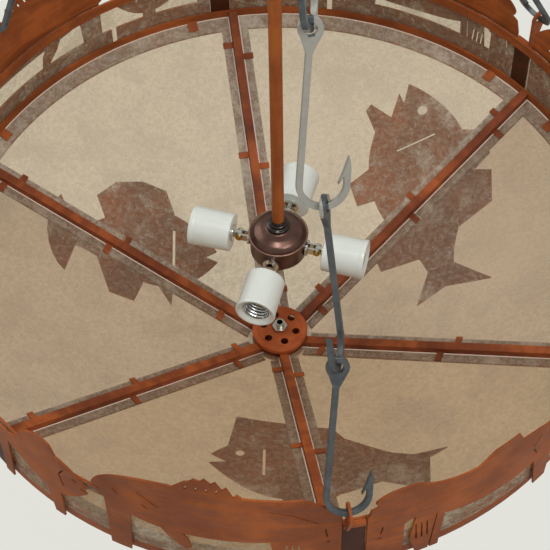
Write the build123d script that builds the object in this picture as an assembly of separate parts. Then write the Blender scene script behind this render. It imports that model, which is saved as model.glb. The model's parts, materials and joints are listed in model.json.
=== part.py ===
from build123d import *
from math import asin, atan2, cos, degrees, hypot, radians, sin, tan
import os

# An inverted pendant light: a mica bowl with cut-sheet fish, hung from a ceiling canopy on three
# chains of fish-hook links, with a cluster of four porcelain sockets on a stem inside it.
# Millimetres. The origin is on the ceiling plane at the middle of the canopy, and +Z is up.

# Canopy, crossbar and stem
canopy_radius = 66.0
canopy_depth = 28.0
canopy_wall = 1.2
canopy_corner = 18.0
crossbar_length = 108.0
crossbar_width = 20.0
crossbar_thickness = 2.5
box_screw_spacing = 88.9
box_slot_length = 9.0
box_slot_width = 4.6
nipple_radius = 4.85
nipple_bore = 3.2
hang_nipple_length = 34.0
stem_radius = 6.35
stem_bore = 5.0
collar_radius = 13.0
collar_height = 9.0
thread_gap = 0.12

# Cluster, measured down from the ceiling to the plane of the cap's rolled rim
cluster_drop = 810.0
cap_radius = 31.2
cap_bead = 1.2
cap_rise = 11.0
cluster_wall = 1.2
body_radius = 29.8
body_depth = 29.0
coupling_radius = 10.5
coupling_height = 11.0
coupling_foot = 4.0
coupling_neck_radius = 8.3
stem_insertion = 7.0
cluster_nut_radius = 9.0
cluster_nut_height = 5.0

# Swivels and sockets
socket_count = 4
socket_turn = -16.0
socket_axis_drop = 16.7
pivot_reach = 42.0
swivel_washer_radius = 8.5
swivel_washer_thickness = 2.0
cheek_height = 9.0
cheek_thickness = 2.0
tongue_thickness = 4.0
tongue_gap = 0.3
swivel_screw_radius = 1.6
screw_head_radius = 3.4
screw_head_height = 1.8
pivot_gap = 0.06
head_disc_radius = 9.0
head_disc_thickness = 2.0
porcelain_standoff = 8.0
porcelain_radius = 21.0
porcelain_length = 44.5
porcelain_bore = 13.9
porcelain_floor = 12.0
porcelain_edge = 1.6
lamp_bore = 13.1
shell_wall = 0.6
shell_recess = 3.0
shell_length = 24.0
contact_radius = 5.0
contact_height = 3.0

# Hook chains
link_pitch = 151.0
links_per_chain = 5
chain_count = 3
chain_turn = 1.2
chain_top_radius = 36.0
chain_top_drop = 62.6
link_thickness = 4.8
link_width = 5.2
eye_radius = 10.2
eye_hole = 5.1
link_gap = 0.6
ear_gap = 0.95
hook_bend_radius = 19.4
hook_point_rise = 41.0
hook_point_lean = 3.2
barb_drop = 23.0
barb_reach = 8.5
cross_turn = -112.0
neck_length = 19.4
canopy_eye_width = 8.0
canopy_eye_head = 13.0
canopy_eye_head_height = 3.0

# Rim band
ear_radius = 371.0
ear_thickness = 2.6
ear_above_ring = 103.0
ear_foot_lap = 4.0
ring_radius = 360.0
ring_thickness = 2.5
ring_height = 24.0
ledge_width = 15.0
upper_ring_height = 12.0
upper_ring_rise = 66.0
post_turn = 2.36
post_width = 22.0
post_thickness = 2.4
post_bar_height = 7.0
band_mica_thickness = 1.0
band_mica_gap = 0.2
band_mica_lap = 8.0
frieze_thickness = 2.0
frieze_gap = 0.3

# Bowl: six straight ribs on a cone, with mica panels between them
rib_count = 6
first_rib_azimuth = 97.43
cone_slope = 24.87
rib_web_width = 9.6
rib_height = 8.0
rib_sheet = 1.5
rib_flange = 11.0
rib_start = 14.5
flange_start = 33.0
mica_thickness = 1.2
mica_lift = 0.1
mica_side_gap = 0.6
mica_edge_gap = 0.5
fold_gap = 0.05
tab_length = 12.0
tab_width = 7.0
tab_sheet = 1.2
tab_gap = 0.2
tab_places = (62.0, 196.0, 318.0)
ring_tab_width = 11.0
ring_tab_turn = 8.0
fish_clearance = 0.75
fish_thickness = 2.0

# Hub
hub_cover_radius = 31.0
hub_cover_rise = 7.0
hub_cover_wall = 1.5
hub_hole_circle = 18.6
hub_hole_radius = 4.3
hub_hole_count = 6
hub_hole_turn = 8.0
hub_step = 1.0
hub_plate_thickness = 2.5
hub_nut_across = 15.0
hub_nut_height = 5.0
hub_nipple_bore = 3.4
hub_nipple_stand = 6.5
hub_plate_gap = 0.5
hub_cover_gap = 0.4
finial_radius = 11.0
finial_height = 22.0
finial_ball = 7.5
finial_seat = 3.0

# Bowl fish: where each lies in plan (its middle), which way its head points, length and depth
bass_place = (170.0, 134.0)
bass_heading = 97.0
bass_length = 262.0
bass_depth = 112.0
trout_place = (44.0, -218.0)
trout_heading = 172.0
trout_length = 240.0
trout_depth = 104.0
sunfish_place = (-163.0, 84.0)
sunfish_heading = 4.0
sunfish_length = 186.0
sunfish_depth = 104.0

# Frieze: in each bay a long fish has its tail at the ear post and a short one at the plain post.
# Each middle is measured up from the top of the lower ring.
long_fish_share = 0.67
perch_depth = 84.0
perch_rise = 84.0
pike_depth = 70.0
pike_rise = 64.0
bream_depth = 72.0
bream_rise = 60.0
nose_gap = 6.0
tail_lift = 2.0
fin_slit = 1.8
rivet_inset = 12.0
rivet_radius = 2.0
base_strip_rise = 16.0
base_strip_bays = (0, 5)

# Worked-out levels and angles
slope = tan(radians(cone_slope))
square = 1 / cos(radians(cone_slope))
chain_span = links_per_chain * link_pitch
chain_run = ear_radius - chain_top_radius
chain_fall = (chain_span**2 - chain_run**2) ** 0.5
chain_lean = degrees(atan2(chain_run, chain_fall))
ear_z = -chain_top_drop - chain_fall
ring_top = ear_z - ear_above_ring
ring_inner = ring_radius - ring_thickness
rib_top_z0 = ring_top - 1.0 - slope * ring_inner
mica_z0 = rib_top_z0 - rib_height * square
hub_top = rib_top_z0 + slope * hub_cover_radius + hub_cover_rise
rim_z = -cluster_drop
socket_z = rim_z - socket_axis_drop
stem_end = rim_z + cap_rise + coupling_height - stem_insertion
frieze_inner = ring_radius + post_thickness + 2 * frieze_gap
frieze_outer = frieze_inner + frieze_thickness
rib_azimuths = [first_rib_azimuth - 360 / rib_count * k for k in range(rib_count)]
half_bay = 180 / rib_count
chain_azimuths = [rib_azimuths[1 + 2 * k] + chain_turn for k in range(chain_count)]
post_azimuths = [azimuth + post_turn for azimuth in rib_azimuths]


def turned(line):
    """Revolve a closed outline, drawn in the XZ plane, about the Z axis."""
    return revolve(make_face(line), Axis.Z)


def turned_points(*points):
    """Revolve a polygon given as (radius, height) pairs."""
    return turned(Polyline(*[(r, 0, z) for r, z in points], close=True))


def tube(outer, inner, low, high):
    """A plain round tube between two heights."""
    return turned_points((inner, low), (outer, low), (outer, high), (inner, high))


def spin(shape, azimuth):
    """Turn a shape made along +X to an azimuth about Z."""
    return Rot(0, 0, azimuth) * shape


def upright(face_points, thickness):
    """A plate standing in the XZ plane, centred on it, from (radius, height) pairs."""
    face = make_face(Polyline(*[(x, 0, z) for x, z in face_points], close=True))
    return extrude(face, thickness / 2, dir=(0, 1, 0), both=True)


def write(name, *shapes):
    """Write one node from its separate solids."""
    solids = [solid for shape in shapes for solid in shape.solids()]
    export_step(Compound(children=solids) if len(solids) > 1 else solids[0], f"parts/{name}.step")


# Canopy: a spun cup whose rim lies on the ceiling, with slots for the three eyes


def canopy_solid(wall_in):
    """The canopy's outer form, or with a wall thickness its inner space."""
    radius = canopy_radius - wall_in
    floor = -canopy_depth + wall_in
    corner = canopy_corner - wall_in
    middle = corner * (1 - cos(radians(45)))
    side = Line((radius, 0, 0), (radius, 0, floor + corner))
    turn = ThreePointArc(
        (radius, 0, floor + corner),
        (radius - middle, 0, floor + middle),
        (radius - corner, 0, floor),
    )
    base = Line((radius - corner, 0, floor), (0, 0, floor))
    axis = Line((0, 0, floor), (0, 0, 0))
    top = Line((0, 0, 0), (radius, 0, 0))
    return turned(side + turn + base + axis + top)


canopy_floor = -canopy_depth
lean = radians(chain_lean)
skew = radians(abs(cross_turn) - 90)
half_pass = link_thickness / 2 * (1 / cos(skew) + tan(skew))
eye_drop = (eye_hole**2 - half_pass**2) ** 0.5 - link_width / 2 - link_gap
eye_spread = 2 * (eye_hole**2 - (link_thickness / 2) ** 2) ** 0.5 - link_gap - eye_drop
canopy_eye_x = chain_top_radius - eye_spread * sin(lean)
canopy_eye_z = -chain_top_drop + eye_spread * cos(lean)


def eye_disc(x, z, thickness):
    """A flat eye standing in the XZ plane: disc and hole as two solids."""
    place = Pos(x, 0, z) * Rot(90, 0, 0)
    return place * Cylinder(eye_radius, thickness), place * Cylinder(eye_hole, thickness + 2)


def canopy_eye():
    """A flat eye in the radial plane with a shank and a head above the canopy's floor."""
    disc, hole = eye_disc(canopy_eye_x, canopy_eye_z, link_thickness)
    head_low = canopy_floor + canopy_wall
    shank = Pos(canopy_eye_x, 0, (canopy_eye_z + head_low) / 2) * Box(
        canopy_eye_width, link_thickness, head_low - canopy_eye_z
    )
    head = Pos(canopy_eye_x, 0, head_low + canopy_eye_head_height / 2) * Box(
        canopy_eye_head, link_thickness, canopy_eye_head_height
    )
    return disc + shank + head - hole


canopy = canopy_solid(0) - canopy_solid(canopy_wall)
canopy -= Cylinder(stem_radius + tongue_gap, 3 * canopy_depth)
for azimuth in chain_azimuths:
    slot = Pos(canopy_eye_x, 0, canopy_floor) * Box(
        canopy_eye_width + 2 * tongue_gap, link_thickness + 2 * tongue_gap, 4 * canopy_wall
    )
    canopy -= spin(slot, azimuth)
write("canopy", canopy)
write("canopy_eyes", *[spin(canopy_eye(), azimuth) for azimuth in chain_azimuths])

# Crossbar: a flat strap on the outlet box, slotted for its two screws
crossbar = Pos(0, 0, -crossbar_thickness / 2) * Box(
    crossbar_length, crossbar_width, crossbar_thickness
)
for side in (-1, 1):
    crossbar -= Pos(side * box_screw_spacing / 2, 0, 0) * extrude(
        SlotOverall(box_slot_length, box_slot_width), crossbar_thickness * 2, both=True
    )
crossbar -= Cylinder(nipple_radius + thread_gap, 4 * crossbar_thickness)
write("crossbar", crossbar)

# Hanging nipple, stem and the collar that holds the canopy up
write("hang_nipple", tube(nipple_radius, nipple_bore, -hang_nipple_length, 0))
stem_top = -crossbar_thickness
write("stem", tube(stem_radius, stem_bore, stem_end, stem_top))
collar_top = canopy_floor
collar_low = collar_top - collar_height
collar_bore = stem_radius + thread_gap
write(
    "stem_collar",
    turned_points(
        (collar_bore, collar_top),
        (collar_radius, collar_top),
        (collar_radius, collar_top - collar_height / 2),
        (collar_radius - collar_height / 4, collar_low),
        (collar_bore, collar_low),
    ),
)

# Cluster: turned coupling, spun cap with a rolled rim, cup-shaped body, nipple and nut
cap_top = rim_z + cap_rise
foot_top = cap_top + coupling_foot
write(
    "cluster_coupling",
    turned_points(
        (nipple_radius + thread_gap, cap_top),
        (coupling_radius, cap_top),
        (coupling_radius, foot_top - 1),
        (coupling_radius - 1, foot_top),
        (coupling_neck_radius, foot_top),
        (coupling_neck_radius, cap_top + coupling_height),
        (stem_radius + thread_gap, cap_top + coupling_height),
        (stem_radius + thread_gap, stem_end),
        (nipple_radius + thread_gap, stem_end),
    ),
)
dome_foot = cap_radius - cap_bead
dome_mid = (dome_foot + coupling_radius) / 2
dome_sag = cap_rise * 0.62


def dome_line(drop):
    """The cap's dome, from the rim to the flat under the coupling, lowered by a wall."""
    return Line(
        (nipple_radius + thread_gap, 0, cap_top - drop), (coupling_radius, 0, cap_top - drop)
    ) + ThreePointArc(
        (coupling_radius, 0, cap_top - drop),
        (dome_mid, 0, rim_z + dome_sag - drop),
        (dome_foot, 0, rim_z - drop),
    )


cap_outline = (
    dome_line(0)
    + Line((dome_foot, 0, rim_z), (dome_foot, 0, rim_z - cluster_wall))
    + dome_line(cluster_wall)
    + Line(
        (nipple_radius + thread_gap, 0, cap_top),
        (nipple_radius + thread_gap, 0, cap_top - cluster_wall),
    )
)
bead_z = rim_z - cluster_wall / 2
bead = turned_points(
    *[
        (dome_foot + cap_bead * cos(radians(a)), bead_z + cap_bead * sin(radians(a)))
        for a in range(0, 360, 45)
    ]
)
cluster_cap = turned(cap_outline) + bead
write("cluster_cap", cluster_cap)

body_top = bead_z - cap_bead
body_low = rim_z - body_depth
body_corner = 3.0
body_inner = body_radius - cluster_wall
cluster_body = turned_points(
    (nipple_radius + thread_gap, body_low),
    (body_radius - body_corner, body_low),
    (body_radius, body_low + body_corner),
    (body_radius, body_top),
    (body_inner, body_top),
    (body_inner, body_low + body_corner),
    (body_inner - body_corner, body_low + cluster_wall),
    (nipple_radius + thread_gap, body_low + cluster_wall),
)
socket_azimuths = [socket_turn + 360 / socket_count * k for k in range(socket_count)]
for azimuth in socket_azimuths:
    hole = (
        Pos(body_radius, 0, socket_z)
        * Rot(0, 90, 0)
        * Cylinder(nipple_radius + thread_gap, 8 * cluster_wall)
    )
    cluster_body -= spin(hole, azimuth)
write("cluster_body", cluster_body)
nipple_low = body_low - cluster_nut_height - 1
write("cluster_nipple", tube(nipple_radius, nipple_bore, nipple_low, stem_end))
nut_bore = nipple_radius + thread_gap
cluster_nut = Pos(0, 0, body_low - cluster_nut_height / 2) * (
    extrude(RegularPolygon(cluster_nut_radius, 6), cluster_nut_height / 2, both=True)
    - Cylinder(nut_bore, 2 * cluster_nut_height)
)
write("cluster_nut", cluster_nut)

# Swivels: a washer and stub through the body's wall, two cheeks, a screw and a moving head
washer_in = body_radius + tongue_gap
washer_out = washer_in + swivel_washer_thickness
cheek_offset = tongue_thickness / 2 + tongue_gap
cheek_end = cheek_height / 2
screw_half = cheek_offset + cheek_thickness
pivot_hole = (
    Pos(pivot_reach, 0, socket_z)
    * Rot(90, 0, 0)
    * Cylinder(swivel_screw_radius + pivot_gap, 4 * screw_half)
)


def along_x(shape, x, z=0.0):
    """Place a shape built along Z so that it lies along X at the socket axis height."""
    return Pos(x, 0, socket_z + z) * Rot(0, 90, 0) * shape


def cheek_plate(y_mid, thickness, start):
    """A plate in the XZ plane with a round end at the pivot."""
    bar_length = pivot_reach - start
    bar = Pos(start + bar_length / 2, y_mid, socket_z) * Box(bar_length, thickness, cheek_height)
    cap = Pos(pivot_reach, y_mid, socket_z) * Rot(90, 0, 0) * Cylinder(cheek_end, thickness)
    return bar + cap


def swivel_base():
    """Washer, threaded stub and the two cheeks that carry the pivot screw."""
    washer = along_x(
        Cylinder(swivel_washer_radius, swivel_washer_thickness),
        washer_in + swivel_washer_thickness / 2,
    )
    stub_length = washer_in - body_inner + 5
    stub = along_x(Cylinder(nipple_radius, stub_length), washer_in - stub_length / 2)
    base = washer + stub
    for side in (-1, 1):
        y_mid = side * (cheek_offset + cheek_thickness / 2)
        base += cheek_plate(y_mid, cheek_thickness, washer_in + swivel_washer_thickness / 2)
    base -= along_x(Cylinder(nipple_bore, 2 * stub_length), washer_in - stub_length / 2)
    return base - pivot_hole


def swivel_screw():
    """The pivot screw across both cheeks, with a head on one side and a nut on the other."""
    place = Pos(pivot_reach, 0, socket_z) * Rot(90, 0, 0)
    screw = place * Cylinder(swivel_screw_radius, 2 * screw_half)
    for side in (-1, 1):
        screw += place * Pos(0, 0, side * (screw_half + screw_head_height / 2)) * Cylinder(
            screw_head_radius, screw_head_height
        )
    return screw


head_start = pivot_reach + porcelain_standoff - head_disc_thickness
porcelain_start = pivot_reach + porcelain_standoff


def swivel_head():
    """The tongue between the cheeks and the disc that the porcelain is screwed to."""
    eye = Pos(pivot_reach, 0, socket_z) * Rot(90, 0, 0) * Cylinder(cheek_end, tongue_thickness)
    bar = Pos((pivot_reach + head_start) / 2, 0, socket_z) * Box(
        head_start - pivot_reach, tongue_thickness, cheek_height
    )
    disc = along_x(
        Cylinder(head_disc_radius, head_disc_thickness), head_start + head_disc_thickness / 2
    )
    return eye + bar + disc - pivot_hole


def turned_along(points):
    """Revolve (distance from the pivot, radius) pairs and lay the result along +X."""
    shape = turned_points(*[(r, x) for x, r in points])
    return Pos(pivot_reach, 0, socket_z) * Rot(0, 90, 0) * shape


def porcelain():
    """The white socket body, bored from its mouth, with a seat for the centre contact."""
    back = porcelain_standoff
    front = back + porcelain_length
    floor = back + porcelain_floor
    edge = porcelain_edge
    return turned_along(
        [
            (back, 0),
            (back, porcelain_radius - edge),
            (back + edge, porcelain_radius),
            (front - edge, porcelain_radius),
            (front, porcelain_radius - edge),
            (front, porcelain_bore + edge),
            (front - edge, porcelain_bore),
            (floor, porcelain_bore),
            (floor, 0),
        ]
    )


def screw_shell():
    """The threaded shell, as a plain sleeve of the thread's size with a floor ring."""
    mouth = porcelain_standoff + porcelain_length - shell_recess
    low = mouth - shell_length
    return turned_along(
        [
            (low, lamp_bore),
            (low, lamp_bore + shell_wall),
            (mouth, lamp_bore + shell_wall),
            (mouth, lamp_bore),
        ]
    )


def centre_contact():
    """The stepped brass contact on the floor of the bore."""
    floor = porcelain_standoff + porcelain_floor
    return turned_along(
        [
            (floor, 0),
            (floor, contact_radius),
            (floor + contact_height / 2, contact_radius),
            (floor + contact_height, contact_radius / 2),
            (floor + contact_height, 0),
        ]
    )


for number, azimuth in enumerate(socket_azimuths, 1):
    write(f"swivel_base_{number}", spin(swivel_base(), azimuth))
    write(f"swivel_head_{number}", spin(swivel_head(), azimuth))
    write(f"porcelain_{number}", spin(porcelain(), azimuth))
    write(f"screw_shell_{number}", spin(screw_shell(), azimuth))
    write(f"centre_contact_{number}", spin(centre_contact(), azimuth))
write("swivel_screws", *[spin(swivel_screw(), azimuth) for azimuth in socket_azimuths])

# Chains: flat cut hooks with a coplanar eye, each turned across the one below
half_width = link_width / 2
eye_height = link_pitch - eye_drop


def hook_link():
    """One link in the XZ plane, with the middle of its bend at the origin and its eye above."""
    shank_angle = degrees(asin(hook_bend_radius / (eye_height - hook_bend_radius)))
    start = radians(180 - shank_angle)
    left = (
        hook_bend_radius * cos(start),
        hook_bend_radius + hook_bend_radius * sin(start),
    )

    def on_arc(radius, angle):
        return (radius * cos(radians(angle)), hook_bend_radius + radius * sin(radians(angle)))

    outer = hook_bend_radius + half_width
    inner = hook_bend_radius - half_width
    first = 180 - shank_angle
    tip = (hook_bend_radius + hook_point_lean, hook_point_rise)
    bend = make_face(
        ThreePointArc(on_arc(outer, first), on_arc(outer, 270), on_arc(outer, 360))
        + Line(on_arc(outer, 360), on_arc(inner, 360))
        + ThreePointArc(on_arc(inner, 360), on_arc(inner, 270), on_arc(inner, first))
        + Line(on_arc(inner, first), on_arc(outer, first))
    )
    out_edge = on_arc(outer, first)
    in_edge = on_arc(inner, first)
    shift = (-left[0], eye_height - left[1])
    shank = make_face(
        Polyline(
            out_edge,
            in_edge,
            (in_edge[0] + shift[0], in_edge[1] + shift[1]),
            (out_edge[0] + shift[0], out_edge[1] + shift[1]),
            close=True,
        )
    )
    point = make_face(
        Polyline(
            (inner, hook_bend_radius),
            (outer, hook_bend_radius),
            (outer + hook_point_lean / 2, hook_point_rise - barb_drop / 3),
            tip,
            (tip[0] - barb_reach * 0.75, tip[1] - barb_drop * 0.62),
            (inner - barb_reach * 0.55, hook_point_rise - barb_drop),
            (inner + 0.2, hook_point_rise - barb_drop * 0.72),
            close=True,
        )
    )
    disc = Pos(0, eye_height) * Circle(eye_radius)
    neck_foot = left[0] * neck_length / (eye_height - left[1])
    neck = make_face(
        Polyline(
            (-eye_radius * cos(radians(30)), eye_height - eye_radius * sin(radians(30))),
            (neck_foot - half_width, eye_height - neck_length),
            (neck_foot + half_width, eye_height - neck_length),
            (eye_radius * cos(radians(30)), eye_height - eye_radius * sin(radians(30))),
            close=True,
        )
    )
    flat = bend + shank + point + disc + neck - Pos(0, eye_height) * Circle(eye_hole)
    return Rot(90, 0, 0) * extrude(flat, link_thickness / 2, both=True)


def chain(azimuth):
    """One chain of links from the ear up to the canopy eye, as separate solids."""
    link = hook_link()
    solids = []
    for step in range(links_per_chain):
        share = step * link_pitch
        x = ear_radius - share * sin(lean)
        z = ear_z + share * cos(lean)
        turn = 90 if step % 2 == 0 else 90 + cross_turn
        placed = Pos(x, 0, z) * Rot(0, -chain_lean, 0) * Rot(0, 0, turn) * link
        solids.append(spin(placed, azimuth))
    return solids


for number, azimuth in enumerate(chain_azimuths, 1):
    write(f"chain_{number}", *chain(azimuth))

# Ribs: folded sheet of hat section, the mica lying on its side flanges


def along_rib(shape):
    """Lay a shape built along X on the cone's underside line of the mica."""
    return Pos(0, 0, mica_z0) * Rot(0, -cone_slope, 0) * shape


def rib_length_at(radius):
    """Distance along the slope from the axis out to a radius."""
    return radius * square


def cone_shell(radius_in, radius_out, offset_low, offset_high):
    """Part of a conical sheet between two offsets square to the mica's underside."""
    low = mica_z0 + offset_low * square
    high = mica_z0 + offset_high * square
    return turned_points(
        (radius_in, low + slope * radius_in),
        (radius_out, low + slope * radius_out),
        (radius_out, high + slope * radius_out),
        (radius_in, high + slope * radius_in),
    )


flange_drop = rib_sheet + 0.05
ledge_inner = ring_inner - ledge_width
half_web = rib_web_width / 2


def tab(place, side):
    """A short tongue cut from the rib's wall and bent out over the mica's curve."""
    mica_rise = (half_web + tab_length) ** 2 * sin(radians(cone_slope)) / (2 * place)
    low = mica_lift + mica_thickness + tab_gap + mica_rise
    middle = half_web + (tab_length - rib_sheet) / 2
    return Pos(rib_length_at(place), side * middle, low + tab_sheet / 2) * Box(
        tab_width, tab_length + rib_sheet, tab_sheet
    )


def rib():
    """One rib from under the hub cover to the lower ring, lying along +X."""
    web_low = -flange_drop
    start = rib_length_at(rib_start)
    end = rib_length_at(ring_inner) + 20
    flange_end = rib_length_at(ledge_inner) - tongue_gap
    flange_from = rib_length_at(flange_start)
    hat = Pos((start + end) / 2, 0, (rib_height + web_low) / 2) * Box(
        end - start, rib_web_width, rib_height - web_low
    )
    hat -= Pos((start + end) / 2, 0, (rib_height + web_low) / 2 - rib_sheet) * Box(
        end - start + 2, rib_web_width - 2 * rib_sheet, rib_height - web_low
    )
    for side in (-1, 1):
        width = rib_flange + rib_sheet
        hat += Pos(
            (flange_from + flange_end) / 2,
            side * (half_web + rib_flange / 2 - rib_sheet / 2),
            -0.05 - rib_sheet / 2,
        ) * Box(flange_end - flange_from, width, rib_sheet)
        for place in tab_places:
            hat += tab(place + side * tab_width, side)
    solid = along_rib(hat)
    outside = tube(2 * ring_radius, ring_inner - 0.1, 2 * mica_z0, 0)
    ledge_space = cone_shell(ledge_inner - tongue_gap, ring_inner + 5, -60, 0)
    return solid - outside - ledge_space


for number, azimuth in enumerate(rib_azimuths, 1):
    write(f"rib_{number}", spin(rib(), azimuth))

# Mica: one conical panel between each pair of ribs, and flat strips round the band


def mica_panel():
    """A panel centred on +X, its straight edges parallel to the ribs beside it."""
    sheet = cone_shell(flange_start - 4, ring_inner - 0.5, mica_lift, mica_lift + mica_thickness)
    edge = half_web + mica_side_gap
    reach = 4 * ring_radius
    for side in (-1, 1):
        past_edge = Pos(0, side * (reach / 2 - edge), mica_z0) * Box(reach, reach, reach)
        sheet -= spin(past_edge, side * half_bay)
    return sheet & Pos(reach / 2, 0, mica_z0) * Box(reach, reach, reach)


panel = mica_panel()
for number, azimuth in enumerate(rib_azimuths, 1):
    write(f"mica_panel_{number}", spin(panel, azimuth - 180 / rib_count))

# Lower ring: a rolled strip with a sloping ledge under the mica and bent tabs over it
ring_low = ring_top - ring_height
lower_ring = tube(ring_radius, ring_inner, ring_low, ring_top)
lower_ring += cone_shell(ledge_inner, ring_inner + 1, -0.05 - rib_sheet, -0.05)
ring_tab_low = mica_lift + mica_thickness + tab_gap
for azimuth in rib_azimuths:
    for turn in (ring_tab_turn, 360 / rib_count - ring_tab_turn):
        bent = along_rib(
            Pos(rib_length_at(ring_inner) - tab_length / 2 + 1, 0, ring_tab_low + tab_sheet / 2)
            * Box(tab_length, ring_tab_width, tab_sheet)
        )
        lower_ring += spin(bent, azimuth - turn)
lower_ring -= tube(ring_radius + 40, ring_radius, ring_low - 30, ring_top + 30)
write("lower_ring", lower_ring)

# Upper ring and posts: uprights outside both rings, three of them with an ear for a chain
upper_low = ring_top + upper_ring_rise - upper_ring_height
upper_top = ring_top + upper_ring_rise
write("upper_ring", tube(ring_radius, ring_inner, upper_low, upper_top))
ear_drop = (eye_hole**2 - (link_thickness / 2) ** 2) ** 0.5 - link_width / 2 - ear_gap
ear_hole_x = ear_radius + ear_drop * sin(lean)
ear_hole_z = ear_z - ear_drop * cos(lean)
post_inner = ring_radius + frieze_gap
post_outer = post_inner + post_thickness


def sector(inner, outer, low, high, width):
    """A strip of a round tube centred on +X, as wide as the chord given."""
    ring = tube(outer, inner, low, high)
    return ring & Pos(outer, 0, (low + high) / 2) * Box(outer, width, high - low + 2)


def ear():
    """The upright plate that a chain hooks into, with its foot on the post's bar."""
    disc, hole = eye_disc(ear_hole_x, ear_hole_z, ear_thickness)
    shoulder = eye_radius * cos(radians(15))
    foot = upright(
        [
            (post_inner + 1, upper_top - ear_foot_lap / 2),
            (frieze_outer + ear_foot_lap, upper_top - ear_foot_lap / 2),
            (ear_hole_x + shoulder, ear_hole_z - ear_foot_lap / 2),
            (ear_hole_x - shoulder, ear_hole_z),
            (post_inner + 1, upper_top + 2 * ear_foot_lap),
        ],
        ear_thickness,
    )
    return disc + foot - hole


def post(with_ear):
    """An upright strap with a short bar across its head, and an ear where a chain hooks in."""
    strap = sector(post_inner, post_outer, ring_low, upper_top, post_width)
    bar = sector(
        post_outer - frieze_gap,
        frieze_outer,
        upper_top - post_bar_height,
        upper_top,
        post_width - 2 * frieze_gap,
    )
    solid = strap + bar
    if with_ear:
        solid = solid + spin(ear(), chain_turn - post_turn)
    return solid


write("band_posts", *[spin(post(k % 2 == 1), azimuth) for k, azimuth in enumerate(post_azimuths)])

strip_inner = ring_radius + band_mica_gap
strip_edge = degrees(asin((post_width / 2 + frieze_gap) / strip_inner))


def wedge(inner, outer, low, high, half_angle):
    """A piece of round tube centred on +X between two angles."""
    ring = tube(outer, inner, low, high)
    reach = 2 * outer
    corner = reach * tan(radians(half_angle))
    face = make_face(Polyline((0, 0), (reach, -corner), (reach, corner), close=True))
    return ring & Pos(0, 0, low - 1) * extrude(face, high - low + 2)


band_strip = wedge(
    strip_inner,
    strip_inner + band_mica_thickness,
    ring_top - band_mica_lap,
    upper_top - frieze_gap,
    half_bay - strip_edge,
)
write("band_mica", *[spin(band_strip, azimuth - half_bay) for azimuth in post_azimuths])

# Fish: silhouettes cut from sheet, drawn flat with the nose at the origin and the tail along +X


def fish_body(length, depth):
    """The body between nose and tail root, two smooth edges and an open mouth."""
    back = [(0.0, 0.03), (0.1, 0.26), (0.3, 0.48), (0.54, 0.42), (0.78, 0.17), (0.88, 0.12)]
    belly = [(0.88, -0.12), (0.76, -0.2), (0.52, -0.46), (0.27, -0.49), (0.1, -0.29), (0.0, -0.1)]
    upper = [(length * x, depth * y) for x, y in back]
    lower = [(length * x, depth * y) for x, y in belly]
    mouth = (0.075 * length, -0.05 * depth)
    return make_face(
        Spline(*upper)
        + Line(upper[-1], lower[0])
        + Spline(*lower)
        + Polyline(lower[-1], mouth, upper[0])
    )


def fin(length, depth, points):
    """A straight-edged fin or tail from (share of length, share of depth) pairs."""
    return make_face(Polyline(*[(length * x, depth * y) for x, y in points], close=True))


def slit(length, depth, start, end, width):
    """A narrow cut between two points given as shares of length and depth."""
    x0, y0 = length * start[0], depth * start[1]
    x1, y1 = length * end[0], depth * end[1]
    middle = Pos((x0 + x1) / 2, (y0 + y1) / 2) * Rot(0, 0, degrees(atan2(y1 - y0, x1 - x0)))
    return middle * Rectangle(hypot(x1 - x0, y1 - y0), width)


def bass_face(length, depth):
    """A deep-bodied fish with a notched back fin and a broad tail."""
    shape = fish_body(length, depth)
    shape -= fin(length, depth, [(-0.02, -0.02), (0.12, -0.2), (0.1, -0.5), (-0.02, -0.5)])
    shape += fin(length, depth, [(0.12, -0.2), (0.04, -0.38), (0.06, -0.44), (0.2, -0.36)])
    shape += fin(
        length,
        depth,
        [(0.86, 0.13), (1.0, 0.42), (0.955, 0.0), (1.0, -0.3), (0.86, -0.13)],
    )
    shape += fin(
        length,
        depth,
        [
            (0.27, 0.44), (0.31, 0.66), (0.42, 0.68), (0.47, 0.5), (0.5, 0.66),
            (0.64, 0.6), (0.7, 0.24)
        ],
    )
    shape += fin(length, depth, [(0.3, -0.44), (0.35, -0.72), (0.45, -0.68), (0.45, -0.44)])
    shape += fin(length, depth, [(0.62, -0.32), (0.65, -0.62), (0.77, -0.56), (0.78, -0.16)])
    shape -= Pos(0.13 * length, 0.12 * depth) * Circle(0.022 * length)
    shape -= slit(length, depth, (0.25, 0.2), (0.27, -0.2), fin_slit * 1.6)
    return shape


def trout_face(length, depth):
    """A heavy fish with a long square-fronted back fin and a broad ragged tail."""
    shape = fish_body(length, depth)
    shape += fin(
        length,
        depth,
        [(0.72, 0.2), (0.86, 0.14), (1.0, 0.22), (0.93, 0.1), (0.94, -0.34), (0.74, -0.22)],
    )
    shape += fin(length, depth, [(0.06, 0.1), (0.07, 0.66), (0.3, 0.62), (0.5, 0.56), (0.6, 0.3)])
    shape += fin(length, depth, [(0.3, -0.38), (0.36, -0.62), (0.5, -0.58), (0.62, -0.3)])
    shape -= Pos(0.12 * length, 0.1 * depth) * Circle(0.02 * length)
    shape -= slit(length, depth, (0.22, 0.2), (0.24, -0.2), fin_slit * 1.6)
    return shape


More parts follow.
